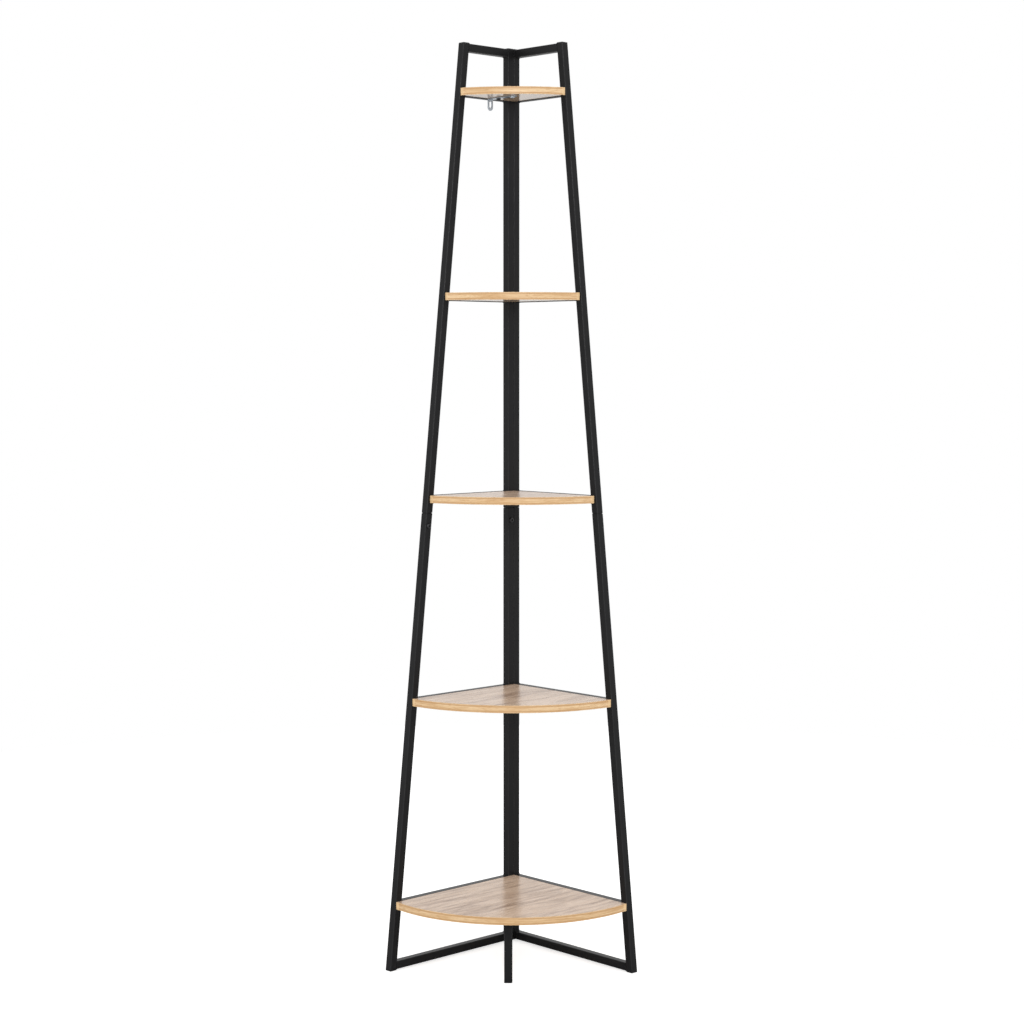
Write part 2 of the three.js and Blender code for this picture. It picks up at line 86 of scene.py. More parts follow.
class Skin:
    """Faces of one piece, laid ring by ring, with a mark for its finish at each corner."""

    def __init__(self):
        self.corners = []
        self.marks = []
        self.faces = []

    def rings(self, rings, wrapped=False, marks=None):
        """Quads between rings of equal length, closed by end faces unless wrapped."""
        first = len(self.corners)
        count = len(rings[0])
        for place, ring in enumerate(rings):
            self.corners.extend(ring)
            self.marks.extend(marks[place] if marks else [0] * count)
        for place in range(len(rings) if wrapped else len(rings) - 1):
            low = first + place * count
            high = first + (place + 1) % len(rings) * count
            for step in range(count):
                after = (step + 1) % count
                self.faces.append((low + step, low + after, high + after, high + step))
        if not wrapped:
            self.faces.append(tuple(range(first + count - 1, first - 1, -1)))
            last = first + (len(rings) - 1) * count
            self.faces.append(tuple(range(last, last + count)))
        return self


def fit(name, skin, material, slot, *nodes, crisp=30):
    """Makes a piece of the unit from its skin and puts it in the place of CAD nodes.

    Edges that turn by more than crisp degrees stay sharp.
    """
    mesh = bpy.data.meshes.new(name)
    mesh.from_pydata(skin.corners, [], skin.faces)
    shell = bmesh.new()
    shell.from_mesh(mesh)
    bmesh.ops.recalc_face_normals(shell, faces=shell.faces)
    shell.to_mesh(mesh)
    shell.free()
    mesh.attributes.new("mark", "FLOAT", "POINT").data.foreach_set("value", skin.marks)
    mesh.shade_smooth()
    mesh.set_sharp_from_angle(angle=math.radians(crisp))
    mesh.materials.append(material)
    piece = bpy.data.objects.new(name, mesh)
    bpy.context.scene.collection.objects.link(piece)
    piece.modifiers.new("even_faces", "WEIGHTED_NORMAL").keep_sharp = True
    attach(piece, "root")
    if nodes:
        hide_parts(*nodes)


class Wire:
    """Output of a shader node, with arithmetic that adds Math nodes."""

    def __init__(self, recipe, socket):
        self.recipe = recipe
        self.socket = socket

    def sum(self, operation, *terms):
        return self.recipe.node("Math", {"operation": operation}, dict(enumerate(terms)))

    def __add__(self, other):
        return self.sum("ADD", self, other)

    def __radd__(self, other):
        return self.sum("ADD", other, self)

    def __sub__(self, other):
        return self.sum("SUBTRACT", self, other)

    def __rsub__(self, other):
        return self.sum("SUBTRACT", other, self)

    def __mul__(self, other):
        return self.sum("MULTIPLY", self, other)

    def __rmul__(self, other):
        return self.sum("MULTIPLY", other, self)

    def __abs__(self):
        return self.sum("ABSOLUTE", self)


class Recipe:
    """Nodes of one finish, of the floor or of the light round the unit."""

    def __init__(self, owner):
        owner.use_nodes = True
        self.tree = owner.node_tree

    def plug(self, socket, value):
        if isinstance(value, Wire):
            self.tree.links.new(value.socket, socket)
        else:
            socket.default_value = value

    def node(self, kind, settings, inputs, output=0):
        """Adds a node, sets it up, fills its sockets and gives back one output."""
        made = self.tree.nodes.new("ShaderNode" + kind)
        for key, value in settings.items():
            setattr(made, key, value)
        sockets = {socket.identifier: socket for socket in made.inputs}
        sockets.update(enumerate(made.inputs))
        for key, value in inputs.items():
            self.plug(sockets[key], value)
        outputs = {socket.identifier: socket for socket in made.outputs}
        outputs.update(enumerate(made.outputs))
        return Wire(self, outputs.get(output))

    def clouds(self, size, turn=0, shift=None, *, detail, rough=0.5):
        """Noise whose patches have this size in mm, along, across and up."""
        place = self.node("NewGeometry", {}, {}, "Position")
        if shift:
            place = self.node("VectorMath", {"operation": "ADD"}, {0: place, 1: shift})
        place = self.node("Mapping", {"vector_type": "TEXTURE"}, {
            "Vector": place,
            "Rotation": (0, 0, turn),
            "Scale": [part * MM for part in size],
        })
        return self.node("TexNoise", {}, {
            "Vector": place, "Scale": 1.0, "Detail": detail, "Roughness": rough})

    def band(self, value, low, high):
        """0 below low, 1 above high and even between them."""
        return self.node("MapRange", {}, {
            "Value": value, "From Min": low, "From Max": high, "To Min": 0.0, "To Max": 1.0})

    def blend(self, share, first, second):
        return self.node("Mix", {"data_type": "RGBA"}, {
            "Factor_Float": share, "A_Color": first, "B_Color": second}, "Result_Color")

    def bump(self, height, depth, strength):
        """Relief of this depth in mm."""
        return self.node("Bump", {}, {
            "Height": height, "Distance": depth * MM, "Strength": strength})

    def mark(self):
        """Mark that the skin of the piece holds at each corner."""
        return self.node("Attribute", {"attribute_name": "mark"}, {}, "Fac")

    def edge_on(self, low, high):
        """1 where a face is seen edge on, and 0 where it looks at the eye."""
        return self.band(self.node("LayerWeight", {}, {"Blend": 0.5}, "Facing"), low, high)


def light_of(*shown):
    """Colour as a screen shows it, 0 to 255, in the light values of a shader."""
    def decode(part):
        """The curve of sRGB."""
        return part / 12.92 if part <= 0.04045 else ((part + 0.055) / 1.055) ** 2.4

    return (*[decode(part / 255) for part in shown], 1)


def finish(name, **sockets):
    """New material with one shader, and a function that plugs in more of its sockets."""
    material = bpy.data.materials.new(name)
    recipe = Recipe(material)
    shader = recipe.tree.nodes["Principled BSDF"]

    def coat(**more):
        for key, value in more.items():
            recipe.plug(shader.inputs[key.replace("_", " ")], value)

    coat(**sockets)
    return material, recipe, coat


COAT_BLACK = light_of(26, 26, 27)
COAT_GREY = light_of(35, 35, 36)
COAT_RUBBED_HIGHLIGHT = light_of(52, 52, 53)
COAT_RELIEF = 0.035

powder_coat, mix, coat = finish("satin_black_powder_coat", Specular_IOR_Level=0.1)
tone = mix.clouds((60, 60, 60), detail=3.0)
speckle = mix.clouds((0.9, 0.9, 0.9), detail=1.0)
peel = mix.clouds((1.7, 1.7, 1.7), detail=2.0)
edge_on = mix.edge_on(0.82, 0.98)
worn = mix.band(mix.clouds((9, 9, 60), detail=4.0), 0.4, 0.65)
# Ridges of the tubes are painted lighter: partly rubbed coat, and partly a painted highlight
# along the corners that face the front.
rubbed_and_highlight = mix.mark() * (0.5 + 0.5 * worn)
coat(
    Base_Color=mix.blend(rubbed_and_highlight, mix.blend(tone, COAT_BLACK, COAT_GREY), COAT_RUBBED_HIGHLIGHT),
    Roughness=0.24 + tone * 0.06 + speckle * 0.05 - rubbed_and_highlight * 0.06 + edge_on * 0.55,
    Normal=mix.bump(peel * 0.8 + speckle * 0.2, COAT_RELIEF, 0.6),
)


def hollow(point, sections):
    """Skin of a hollow tube, from the inset, the rounding and the place of each section.

    The ridges of its outside are marked, and point turns its own sizes into a place.
    """
    rings = []
    marks = []
    for inset, rounding, place in sections:
        outline = square_outline(inset, rounding)
        rings.append([point(across, up, place) for across, up, ridge in outline])
        marks.append([ridge if inset < TUBE_WALL else 0 for across, up, ridge in outline])
    return Skin().rings(rings, wrapped=True, marks=marks)


def tube(name, point, low, high, ease):
    """Makes a hollow square tube with eased ends."""
    skin = hollow(point, [
        (0, TUBE_ROUND, low + ease),
        (0, TUBE_ROUND, high - ease),
        (CUT_EASE, TUBE_ROUND - CUT_EASE, high),
        (TUBE_WALL, TUBE_INSIDE_ROUND, high),
        (TUBE_WALL, TUBE_INSIDE_ROUND, low),
        (CUT_EASE, TUBE_ROUND - CUT_EASE, low),
    ])
    fit(name, skin, powder_coat, "black_steel", name)


def upright(side, part):
    """Place of a point of a leg or back upright, from its section and its height."""
    leaning = part == "leg"
    start = LEG_START if leaning else BACK_START[side]
    slope = LEG_SLOPE if leaning else 0
    depth = LEG_DEPTH if leaning else TUBE

    def point(across, up, height):
        return on_frame(side, start + across * depth / TUBE + slope * height, up, height)

    return point


for side in FRAME_SIGN:
    for part in ("leg", "back"):
        for half, (low, high) in HALF_SPANS.items():
            name = f"{side}_{half}_{part}_tube"
            tube(name, upright(side, part), low, high, CUT_EASE)


# Level rails between the back upright and the leaning leg.
# Each side has one near the floor, one at the top and one beside every board, of
# the same tube, with the front end cut to the lean of the leg.
WELD_GAP = 0.3
BOARD_TOPS = [130, 508.9, 887.8, 1266.7, 1649.1]
RAIL_LOWS = {"bottom_rail": 1.8, "top_rail": 1718.2}
RAIL_LOWS.update({f"shelf_rail_{n + 1}": top - TUBE for n, top in enumerate(BOARD_TOPS)})


def leg_back(height):
    """Where the back face of the leaning leg is, along the wall."""
    return LEG_START + LEG_SLOPE * height


def rail_start(side):
    return BACK_START[side] + TUBE + WELD_GAP


def rail(side, low):
    """Place of a point of a rail, from its section and its share of the length."""
    start = rail_start(side)

    def point(across, up, share):
        end = leg_back(low + up) - WELD_GAP
        return on_frame(side, start + share * (end - start), across, low + up)

    return point


for side in FRAME_SIGN:
    for part, low in RAIL_LOWS.items():
        length = leg_back(low) - rail_start(side)
        tube(f"{side}_{part}", rail(side, low), 0, 1, CUT_EASE / length)


# Weld beads that join the rails to the uprights.
# They run round each rail end, but not where a board, a cap or a foot lies close,
# and they are coated together with the tubes.
BEAD_RADIUS = 0.85
BEAD_RIPPLE = 0.09
BEAD_PITCH = 1.7
BEAD_STEP = 0.42
BEAD_FACETS = 8
BEAD_TAPER_STEPS = 4
BARE_SIDES = {"bottom_rail": "low", "top_rail": "high"}
CORNERS_BEFORE_BEAD = {"low": 1, "inner": 2, "high": 3}


def bead_path(bare_side):
    """Points round a rail end, from one end of the side left bare to its other end."""
    outline = [(x, y) for x, y, ridge in square_outline(0, TUBE_ROUND)]
    first = CORNERS_BEFORE_BEAD[bare_side] * (CORNER_STEPS + 1)
    loop = outline[first:] + outline[:first]
    path = []
    for (x0, y0), (x1, y1) in zip(loop, loop[1:]):
        length = math.hypot(x1 - x0, y1 - y0)
        steps = max(1, round(length / BEAD_STEP))
        for step in range(steps):
            share = step / steps
            path.append((x0 + (x1 - x0) * share, y0 + (y1 - y0) * share))
    return path


def bead(skin, side, low, bare_side, face):
    """Adds a bead on the line where a rail meets the face of an upright."""
    path = bead_path(bare_side)
    rings = []
    length = 0
    for place, (x, y) in enumerate(path):
        x0, y0 = path[max(place - 1, 0)]
        x1, y1 = path[min(place + 1, len(path) - 1)]
        reach = math.hypot(x1 - x0, y1 - y0)
        out_x, out_y = (y1 - y0) / reach, (x0 - x1) / reach
        length += math.hypot(x - x0, y - y0)
        from_end = min(place, len(path) - 1 - place) + 1
        taper = min(1, math.sqrt(from_end / BEAD_TAPER_STEPS))
        ripple = BEAD_RIPPLE * abs(math.sin(math.pi * length / BEAD_PITCH))
        radius = taper * (BEAD_RADIUS + ripple)
        ring = []
        for step in range(BEAD_FACETS):
            turn = 2 * math.pi * step / BEAD_FACETS
            out = radius * math.cos(turn)
            along = face(low + y) + radius * math.sin(turn)
            ring.append(on_frame(side, along, x + out * out_x, low + y + out * out_y))
        rings.append(ring)
    skin.rings(rings)


for side in FRAME_SIGN:
    beads = Skin()
    back_face = BACK_START[side] + TUBE + WELD_GAP / 2
    for part, low in RAIL_LOWS.items():
        bare_side = BARE_SIDES.get(part, "inner")
        bead(beads, side, low, bare_side, lambda height: back_face)
        bead(beads, side, low, bare_side, lambda height: leg_back(height) - WELD_GAP / 2)
    fit(f"{side}_weld_beads", beads, powder_coat, "black_steel", crisp=80)


# Connector sleeves inside both halves of the uprights at mid height.
# They are short pieces of thinner square tube with a welded nut, coated black like
# the frames, and only a hair of them shows in the seams.
def refinish(node, material):
    """Gives a CAD node a finish in the place of its plain one."""
    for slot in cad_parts[node].material_slots:
        slot.material = material


for side in FRAME_SIGN:
    for part in ("leg", "back"):
        refinish(f"{side}_{part}_sleeve", powder_coat)


# Bolts of the frames: one through each lower tube into its sleeve, and two that
# draw the back uprights together. They are blackened steel button heads with a
# hexagon socket and a rolled thread.
SEAM = 854.8
BOLT_DROP = 24
POST_BOLT_HEIGHTS = {"lower": 501.4, "upper": 1641.6}
BOLT = {
    "shank": 3, "pitch": 1, "tip": 0.6, "tip_radius": 2.4,
    "head": 5.25, "rim": 0.8, "dome": 2.9, "socket": 2.3, "deep": 2,
}
SLEEVE_BOLT_LENGTH = 6.6
POST_BOLT_LENGTH = 22.4
SLEEVE_BOLT_FACES = {"left": TUBE, "right": 0}
HEAD_GAP = 0.3
HEAD_PLAY = 0.1
HEAD_EASE = 0.25
SOCKET_LIP = 0.35
SOCKET_EASE = 0.2
SOCKET_TIP_RADIUS = 0.2
SOCKET_TIP_DEPTH = 0.35
THREAD_DEPTH = 0.12
TURNED_FACETS = 48
DOME_STEPS = 7

FASTENER_BLACK = light_of(28, 28, 31)
FASTENER_DEEP = light_of(22, 22, 24)
FASTENER_WORN = light_of(66, 66, 70)
FASTENER_RELIEF = 0.02

black_oxide, mix, coat = finish("blackened_steel", Specular_IOR_Level=0.36)
haze = mix.clouds((2.2, 2.2, 2.2), detail=4.0)
nicks = mix.band(mix.clouds((0.6, 0.6, 0.6), detail=2.0), 0.62, 0.74)
blackened = mix.blend(haze, FASTENER_BLACK, FASTENER_DEEP)
coat(
    Base_Color=mix.blend(nicks * 0.5, blackened, FASTENER_WORN),
    Roughness=0.28 + haze * 0.14 + mix.edge_on(0.7, 0.9) * 0.5,
    Normal=mix.bump(haze, FASTENER_RELIEF, 0.5),
)


def turned(radius, turn, height):
    return Vector((radius * math.cos(turn), radius * math.sin(turn), height))


def round_ring(radius, height):
    turns = [2 * math.pi * step / TURNED_FACETS for step in range(TURNED_FACETS)]
    return [turned(radius, turn, height) for turn in turns]


def hexagon_ring(radius, height):
    """Hexagon of this radius over its corners, with as many points as a round ring."""
    sixth = math.pi / 3
    ring = []
    for step in range(TURNED_FACETS):
        turn = 2 * math.pi * step / TURNED_FACETS
        reach = radius * math.cos(sixth / 2) / math.cos(turn % sixth - sixth / 2)
        ring.append(turned(reach, turn, height))
    return ring


def fastener_rings(size, length):
    """Bolt or screw with its head on the plane of the tube and its shank below it."""
    shank, pitch = size["shank"], size["pitch"]
    tip, tip_radius = size["tip"], size["tip_radius"]
    start = HEAD_GAP - length
    rings = [round_ring(tip_radius, start)]
    taper = int(tip / pitch)
    for turn in range(taper):
        share = (turn + 1) / (taper + 1)
        root = tip_radius + (shank - tip_radius) * share
        low = start + tip * share
        rings.append(round_ring(root - THREAD_DEPTH, low - pitch / 4))
        rings.append(round_ring(root, low + pitch / 4))
    for turn in range(int((length - tip - HEAD_GAP) / pitch)):
        low = start + tip + turn * pitch
        rings.append(round_ring(shank, low))
        rings.append(round_ring(shank - THREAD_DEPTH, low + pitch / 2))
    rings += [round_ring(shank, -HEAD_GAP), round_ring(shank, 0)]

    head = size["head"] - HEAD_PLAY
    rim = size["rim"] + HEAD_GAP
    top = size["dome"] + HEAD_GAP - HEAD_PLAY
    rings += [
        round_ring(head - HEAD_EASE, 0),
        round_ring(head, HEAD_EASE),
        round_ring(head, rim),
    ]
    lip = size["socket"] + SOCKET_LIP
    for step in range(1, DOME_STEPS + 1):
        turn = math.pi / 2 * step / DOME_STEPS
        radius = lip + (head - lip) * math.cos(turn)
        rings.append(round_ring(radius, rim + (top - rim) * math.sin(turn)))
    socket_floor = top - size["deep"]
    rings += [
        hexagon_ring(size["socket"] + SOCKET_EASE, top),
        hexagon_ring(size["socket"], top - SOCKET_EASE),
        hexagon_ring(size["socket"], socket_floor),
        hexagon_ring(SOCKET_TIP_RADIUS, socket_floor - SOCKET_TIP_DEPTH),
    ]
    return rings


def drive(name, rings, place, outward, material, slot, *nodes):
    """Turns a fastener so that its head looks outward, and puts it in place."""
    aim = Vector((0, 0, 1)).rotation_difference(outward)
    aimed = [[place + aim @ (point * MM) for point in ring] for ring in rings]
    fit(name, Skin().rings(aimed), material, slot, *nodes, crisp=38)


def inward_of(side):
    return (on_frame(side, 0, 1, 0) - on_frame(side, 0, 0, 0)).normalized()


for side, head_face in SLEEVE_BOLT_FACES.items():
    height = SEAM - BOLT_DROP
    outward = inward_of(side) if side == "left" else -inward_of(side)
    middles = {
        "leg": LEG_START + LEG_DEPTH / 2 + LEG_SLOPE * height,
        "back": BACK_START[side] + TUBE / 2,
    }
    for part, along in middles.items():
        name = f"{side}_{part}_sleeve_bolt"
        rings = fastener_rings(BOLT, SLEEVE_BOLT_LENGTH)
        place = on_frame(side, along, head_face, height)
        drive(name, rings, place, outward, black_oxide, "black_fastener", name)

for half, height in POST_BOLT_HEIGHTS.items():
    name = f"post_bolt_{half}"
    rings = fastener_rings(BOLT, POST_BOLT_LENGTH)
    place = on_frame("right", TUBE / 2, 0, height)
    drive(name, rings, place, -inward_of("right"), black_oxide, "black_fastener", name)


# Plugs in the open ends of the uprights: feet at the floor and caps at the top.
# They are moulded black plastic, with an eased flange as wide as the tube and a
# stem that is pressed into it.
CAP_PLAY = 0.01
FLANGE = 1.8
FLANGE_EASE = 1.1
FLANGE_CORNER_LOSS = 0.9
EASE_STEPS = 4
STEM_INSET = 1.3
STEM_LENGTH = 12
STEM_TIP = 1
STEM_TAPER = 0.35

PLASTIC_BLACK = light_of(24, 24, 25)
PLASTIC_DUSTY = light_of(40, 40, 40)
PLASTIC_RELIEF = 0.012

moulded_plastic, mix, coat = finish("moulded_black_plastic", Specular_IOR_Level=0.4)
spark = mix.clouds((0.22, 0.22, 0.22), detail=2.0)
dust = mix.clouds((5, 5, 5), detail=3.0)
coat(
    Base_Color=mix.blend(dust * 0.6, PLASTIC_BLACK, PLASTIC_DUSTY),
    Roughness=0.42 + dust * 0.12,
    Normal=mix.bump(spark, PLASTIC_RELIEF, 0.6),
)


def plug_skin(point):
    """Plug that stands on its flange; point turns its own sizes into a place."""
    sections = []
    for step in range(EASE_STEPS + 1):
        turn = math.pi / 2 * step / EASE_STEPS
        inset = FLANGE_EASE * (1 - math.sin(turn))
        rounding = TUBE_ROUND - inset * FLANGE_CORNER_LOSS
        sections.append((inset, rounding, FLANGE_EASE * (1 - math.cos(turn))))
    stem_top = FLANGE + STEM_LENGTH
    sections += [
        (0, TUBE_ROUND, FLANGE),
        (STEM_INSET, TUBE_INSIDE_ROUND, FLANGE),
        (STEM_INSET, TUBE_INSIDE_ROUND, stem_top - STEM_TIP),
        (STEM_INSET + STEM_TAPER, TUBE_INSIDE_ROUND, stem_top),
    ]
    return Skin().rings([
        [point(across, up, rise) for across, up, ridge in square_outline(inset, rounding)]
        for inset, rounding, rise in sections
    ])


for side in FRAME_SIGN:
    for part in ("leg", "back"):
        point = upright(side, part)
        cap_top = UNIT_HEIGHT - CAP_PLAY
        foot = plug_skin(point)
        cap = plug_skin(lambda across, up, rise: point(across, up, cap_top - rise))
        for end, skin in {"foot": foot, "cap": cap}.items():
            name = f"{side}_{part}_{end}"
            fit(name, skin, moulded_plastic, "black_plastic", name, crisp=35)


# Five corner boards with a curved front, each a 14 mm particle board.
# Both faces have a smooth oak-look laminate whose grain runs along the left frame,
# and the edges are eased a hair. The underside is painted a plain, darker oak colour,
# which is painted shade under the board.
BOARD = 14
BOARD_SETBACKS = [0.5, 1.1, 4.7, 2.8, 0.9]
BOARD_GAP = 0.3
END_FLAT = 7.5
ARC_RADIUS = 270
EDGE_EASE = 0.2
BAND = 0.6
ARC_STEPS = 96
GRAIN_TURN = math.pi / 4

OAK_PALE = light_of(247, 221, 198)
OAK_MIDDLE = light_of(223, 192, 164)
OAK_STREAK = light_of(146, 109, 80)
OAK_PORE = light_of(116, 84, 59)
OAK_UNDERSIDE_SHADE = light_of(177, 151, 125)
OAK_RELIEF = 0.008
GRAIN_SWAY = 0.02

oak_laminate, mix, coat = finish("oak_laminate", Specular_IOR_Level=0.5)
facing = mix.node("NewGeometry", {}, {}, "Normal")
face_up = mix.node("SeparateXYZ", {}, {"Vector": facing}, "Z")
top_side = mix.band(face_up, -0.6, -0.4)
sway = (mix.clouds((150, 60, 300), GRAIN_TURN, detail=1.0) - 0.5) * GRAIN_SWAY
wander = mix.node("CombineXYZ", {}, {"X": sway * -1, "Y": sway})
boards = mix.clouds((260, 46, 60), GRAIN_TURN, wander, detail=2.0)
streaks = mix.clouds((88, 9, 40), GRAIN_TURN, wander, detail=3.0, rough=0.6)
mottle = mix.clouds((26, 6, 20), GRAIN_TURN, wander, detail=2.0)
fibres = mix.clouds((34, 0.9, 20), GRAIN_TURN, wander, detail=3.0, rough=0.6)
pores = mix.clouds((7, 0.4, 15), GRAIN_TURN, wander, detail=1.0)
pore = mix.band(pores, 0.64, 0.74) * mix.band(streaks, 0.4, 0.62)
dark = mix.band(streaks * 0.45 + boards * 0.3 + mottle * 0.25, 0.44, 0.62)
pale = mix.band(fibres * 0.35 + mottle * 0.35 + boards * 0.3, 0.4, 0.6)
grain = mix.blend(pale, OAK_MIDDLE, OAK_PALE)
grain = mix.blend(dark * 0.8, grain, OAK_STREAK)
grain = mix.blend(pore * 0.75, grain, OAK_PORE)
coat(
    # Faces that look down take a plain darker oak: painted shade under the board.
    Base_Color=mix.blend(top_side, OAK_UNDERSIDE_SHADE, grain),
    Roughness=0.14 + top_side * 0.11 + pore * 0.18 + streaks * 0.05,
    Normal=mix.bump(fibres * 0.3 - pore * 0.7, OAK_RELIEF, 0.3),
)


def leg_front(height):
    return FLOOR_REACH + LEG_SLOPE * height


def board_side(number):
    """Length of a board along each wall, from the inner faces of the frames."""
    return leg_front(BOARD_TOPS[number]) - TUBE - BOARD_SETBACKS[number]


def on_board(out, beside, height):
    """Place from mm out along the left frame and the right one, from their corner."""
    return on_frame("left", TUBE + out, TUBE + beside, height)


def arc_points(reach, inset):
    """Arc between the flats at the two ends of a board, as points and ways out."""
    half_chord = (reach - END_FLAT) / ROOT_TWO
    centre = (reach + END_FLAT) / 2 - math.sqrt(ARC_RADIUS ** 2 - half_chord ** 2) / ROOT_TWO
    start = math.atan2(END_FLAT - centre, reach - centre)
    points = []
    for step in range(ARC_STEPS + 1):
        turn = start + (math.pi / 2 - 2 * start) * step / ARC_STEPS
        out = Vector((math.cos(turn), math.sin(turn)))
        points.append((Vector((centre, centre)) + out * (ARC_RADIUS - inset), out))
    return points


for number, top in enumerate(BOARD_TOPS):
    reach = board_side(number)
    low = top - BOARD
    levels = [
        (EDGE_EASE, low),
        (0, low + EDGE_EASE),
        (0, top - EDGE_EASE),
        (EDGE_EASE, top),
    ]
    rings = []
    for ease, height in levels:
        near, far = BOARD_GAP + ease, reach - BAND - ease
        outline = [(near, near), (far, near)]
        outline += [tuple(point) for point, out in arc_points(reach, BAND + ease)]
        outline.append((near, far))
        rings.append([on_board(out, beside, height) for out, beside in outline])
    name = f"shelf_board_{number + 1}"
    fit(name, Skin().rings(rings), oak_laminate, "oak_board", name)


# Golden edge bands glued round the arc of each board and over the flats at its
# two ends. They are printed plastic strips, a little darker at both edges, where
# the trimmer has cut them flush with the faces.
BAND_EASE = 0.3
BAND_CHAMFER = 0.09
BAND_TRIM = 0.15
END_MARK = 2
EDGE_LINE = 0.33

BAND_GOLD = light_of(214, 174, 126)
BAND_PALE = light_of(238, 206, 162)
BAND_DARK = light_of(190, 144, 94)
BAND_END_LIT = light_of(242, 207, 157)
BAND_RELIEF = 0.01

golden_band, mix, coat = finish("golden_edge_band", Specular_IOR_Level=0.4)
mark = mix.mark()
at_end = mix.band(mark, END_MARK / 2, END_MARK)
from_middle = abs(mark - at_end * END_MARK - 0.5)
edge_lines = 1 - mix.band(abs(from_middle - EDGE_LINE), 0.04, 0.13)
lines = mix.clouds((60, 60, 1.6), detail=3.0, rough=0.65)
flecks = mix.clouds((11, 11, 1.1), detail=2.0)
tint = mix.clouds((70, 70, 9), detail=2.0)
printed = mix.blend(mix.band(lines * 0.6 + tint * 0.4, 0.42, 0.58), BAND_GOLD, BAND_PALE)
printed = mix.blend(mix.band(flecks, 0.54, 0.68) * 0.6, printed, BAND_DARK)
printed = mix.blend(edge_lines * (0.35 + tint * 0.7), printed, BAND_DARK)
# The flats at the two ends of each band are painted lighter than the arc, as painted light
# from the lamps at the sides.
coat(
    Base_Color=mix.blend(at_end * 0.6, printed, BAND_END_LIT),
    Roughness=0.36 + lines * 0.1,
    Normal=mix.bump(lines, BAND_RELIEF, 0.4),
)


def strip(skin, path, low, first_mark=0):
    """Adds a strip of band along a path of outer points and their ways out.

    Its marks rise by 1 from its lower edge to its upper one.
    """
    profile = [
        (0, 0),
        (BAND - BAND_EASE, 0),
        (BAND - BAND_CHAMFER, BAND_CHAMFER),
        (BAND, BAND_EASE),
    ]
    profile += [(depth, BOARD - rise) for depth, rise in reversed(profile)]
    rings = []
    for place, (point, out) in enumerate(path):
        trim = BAND_TRIM if place in (0, len(path) - 1) else 0
        rings.append([
            on_board(*(point - out * (BAND - max(depth - trim, 0))), low + rise)
            for depth, rise in profile
        ])
    marks = [[first_mark + rise / BOARD for depth, rise in profile]] * len(path)
    skin.rings(rings, marks=marks)


def flat_path(reach, mirrored):
    """Flat at one end of a board, from the frame to the start of the arc."""
    path = []
    for along in (BOARD_GAP, BOARD_GAP + BAND_TRIM, END_FLAT - BAND_TRIM, END_FLAT):
        point, out = Vector((reach, along)), Vector((1, 0))
        path.append((point.yx, out.yx) if mirrored else (point, out))
    return path


for number, top in enumerate(BOARD_TOPS):
    reach = board_side(number)
    edge = Skin()
    strip(edge, arc_points(reach, 0), top - BOARD)
    strip(edge, flat_path(reach, False), top - BOARD, END_MARK)
    strip(edge, flat_path(reach, True), top - BOARD, END_MARK)
    fit(f"shelf_board_{number + 1}_edge_band", edge, golden_band, "oak_board", crisp=40)


# Screws that hold the boards, one through every shelf rail.
# They are blackened steel with a domed head on the wall side, and they are driven
# through the rail into the middle of the board's straight edge.
SCREW = {
    "shank": 2, "pitch": 1.2, "tip": 3, "tip_radius": 0.5,
    "head": 4, "rim": 0.7, "dome": 2.4, "socket": 1.5, "deep": 1.3,
}
SHELF_SCREW_LENGTH = 37.6

for side in FRAME_SIGN:
    for number, top in enumerate(BOARD_TOPS):
        name = f"{side}_shelf_screw_{number + 1}"
        rings = fastener_rings(SCREW, SHELF_SCREW_LENGTH)
        place = on_frame(side, TUBE + board_side(number) / 2, 0, top - TUBE / 2)
        drive(name, rings, place, -inward_of(side), black_oxide, "black_fastener", name)


# Short front leg under the arc of the lowest board.
# It is a piece of the same coated tube with a plate welded in its top, a stud that
# screws into the board, and a plastic foot.
FRONT_LEG_CORNER = (-11.1, -142.2544)
FRONT_LEG_TOP = 115.7
PLATE_DEPTH = 3
PLATE_HOLE_INSET = 5
PLATE_HOLE_ROUND = 2


def front_leg_point(across, up, height):
    x, y = FRONT_LEG_CORNER
    return Vector((x + across, y + up, height)) * MM


front_leg = hollow(front_leg_point, [
    (0, TUBE_ROUND, FLANGE + CUT_EASE),
    (0, TUBE_ROUND, FRONT_LEG_TOP - CUT_EASE),
    (CUT_EASE, TUBE_ROUND - CUT_EASE, FRONT_LEG_TOP),
    (PLATE_HOLE_INSET, PLATE_HOLE_ROUND, FRONT_LEG_TOP),
    (PLATE_HOLE_INSET, PLATE_HOLE_ROUND, FRONT_LEG_TOP - PLATE_DEPTH),
    (TUBE_WALL, TUBE_INSIDE_ROUND, FRONT_LEG_TOP - PLATE_DEPTH),
    (TUBE_WALL, TUBE_INSIDE_ROUND, FLANGE),
    (CUT_EASE, TUBE_ROUND - CUT_EASE, FLANGE),
])
fit("front_leg", front_leg, powder_coat, "black_steel", "front_leg")
front_foot = plug_skin(front_leg_point)
fit("front_leg_foot", front_foot, moulded_plastic, "black_plastic", "front_leg_foot", crisp=35)

STEEL = light_of(178, 180, 184)
STEEL_DULL = light_of(138, 140, 144)

drawn_steel, mix, coat = finish("drawn_steel", Metallic=1.0)
oil = mix.clouds((11, 11, 18), detail=3.0)
coat(
    Base_Color=mix.blend(oil, STEEL_DULL, STEEL),
    Roughness=0.24 + oil * 0.16,
)
refinish("front_leg_stud", drawn_steel)


